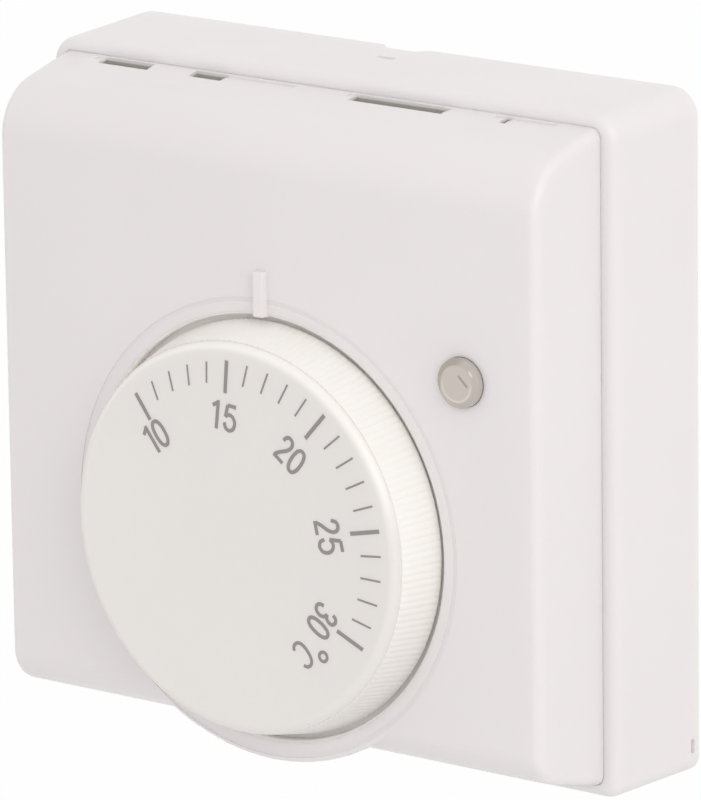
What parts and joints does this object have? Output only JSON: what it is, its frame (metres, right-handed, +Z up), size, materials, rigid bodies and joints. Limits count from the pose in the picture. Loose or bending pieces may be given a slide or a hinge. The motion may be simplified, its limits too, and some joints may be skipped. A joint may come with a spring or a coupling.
{
  "type": "room thermostat",
  "caption": "Wall-mounted room thermostat with a knurled temperature dial, a vented sloped cover, a small lamp and a vapour-capsule switch inside.",
  "frame": {"origin": "middle of the flat rear face that lies on the wall", "axes": "+X to the right as seen from the front, +Y into the wall, +Z up, as it hangs in use"},
  "size_m": [0.084, 0.0353, 0.083],
  "materials": {
    "white_shell": "smooth off-white moulding with a soft gloss",
    "white_dial": "smooth warm white moulding with grey print",
    "clear_lens": "clear moulding, faintly smoky",
    "plated_steel": "bright zinc plate",
    "spring_steel": "dark phosphated spring steel",
    "yoke_steel": "pressed sheet, zinc plate",
    "red_plastic": "moulded, slightly glossy",
    "natural_plastic": "unpainted milky moulding",
    "chassis_plastic": "stiff matt moulding",
    "grey_plastic": "matt grey moulding",
    "brass_turned": "turned, bright",
    "brass_strip": "stamped strip",
    "copper_alloy": "thin rolled copper alloy, tinned seam",
    "spring_bronze": "thin spring bronze",
    "contact_silver": "silver, lightly polished",
    "nickel_wire": "bare nickel",
    "lamp_glass": "thin clear glass",
    "resistor_beige": "lacquered ceramic",
    "resistor_green": "lacquered ceramic",
    "wire_sleeve": "soft sleeve over fine wire"
  },
  "bodies": {
    "root": {"base": "white_shell", "cover": "white_shell", "indicator_lens": "clear_lens", "cover_screw": "plated_steel", "range_pins": "red_plastic", "yoke": "yoke_steel", "yoke_screws": "plated_steel", "chassis": "chassis_plastic", "chassis_screws": "plated_steel", "terminal_block": "grey_plastic", "terminal_clamps": "brass_strip", "terminal_screws": "plated_steel", "common_strip": "brass_strip", "make_strip": "brass_strip", "break_strip": "brass_strip", "fixed_contacts": "contact_silver", "neon_lamp": "lamp_glass", "lamp_electrodes": "nickel_wire", "lamp_resistor": "resistor_beige", "lamp_wires": "wire_sleeve", "heater_resistor": "resistor_green"},
    "dial": {"dial": "white_dial", "spindle": "brass_turned", "spindle_clip": "spring_steel"},
    "carrier": {"capsule_carrier": "natural_plastic", "capsule": "copper_alloy"},
    "stud": {"pressure_stud": "brass_turned"},
    "button": {"switch_button": "red_plastic"},
    "blade": {"contact_blade": "spring_bronze", "moving_contact": "contact_silver"}
  },
  "joints": [
    {"name": "dial_turn", "type": "hinge", "parent": "root", "child": "dial", "pos_m": [0, 0, -0.01135], "axis": [0, 1, 0], "range_deg": [-119.07, 42.93]},
    {"name": "carrier_slide", "type": "slide", "parent": "root", "child": "carrier", "axis": [0, 1, 0], "range_m": [-0.0008, 0.00029]},
    {"name": "stud_push", "type": "slide", "parent": "carrier", "child": "stud", "axis": [0, 1, 0], "range_m": [0, 0.0003]},
    {"name": "button_push", "type": "slide", "parent": "root", "child": "button", "axis": [0, 1, 0], "range_m": [0, 0.000301]},
    {"name": "blade_swing", "type": "hinge", "parent": "root", "child": "blade", "pos_m": [-0.0074, -0.00806, -0.01135], "axis": [0, 0, 1], "range_deg": [0, 2.33]}
  ],
  "couplings": [
    {"joint": "carrier_slide", "follows": "dial_turn", "m_per_rad": 0.00038197},
    {"joint": "button_push", "follows": "stud_push", "ratio": 1},
    {"joint": "blade_swing", "follows": "stud_push", "rad_per_m": 135}
  ]
}
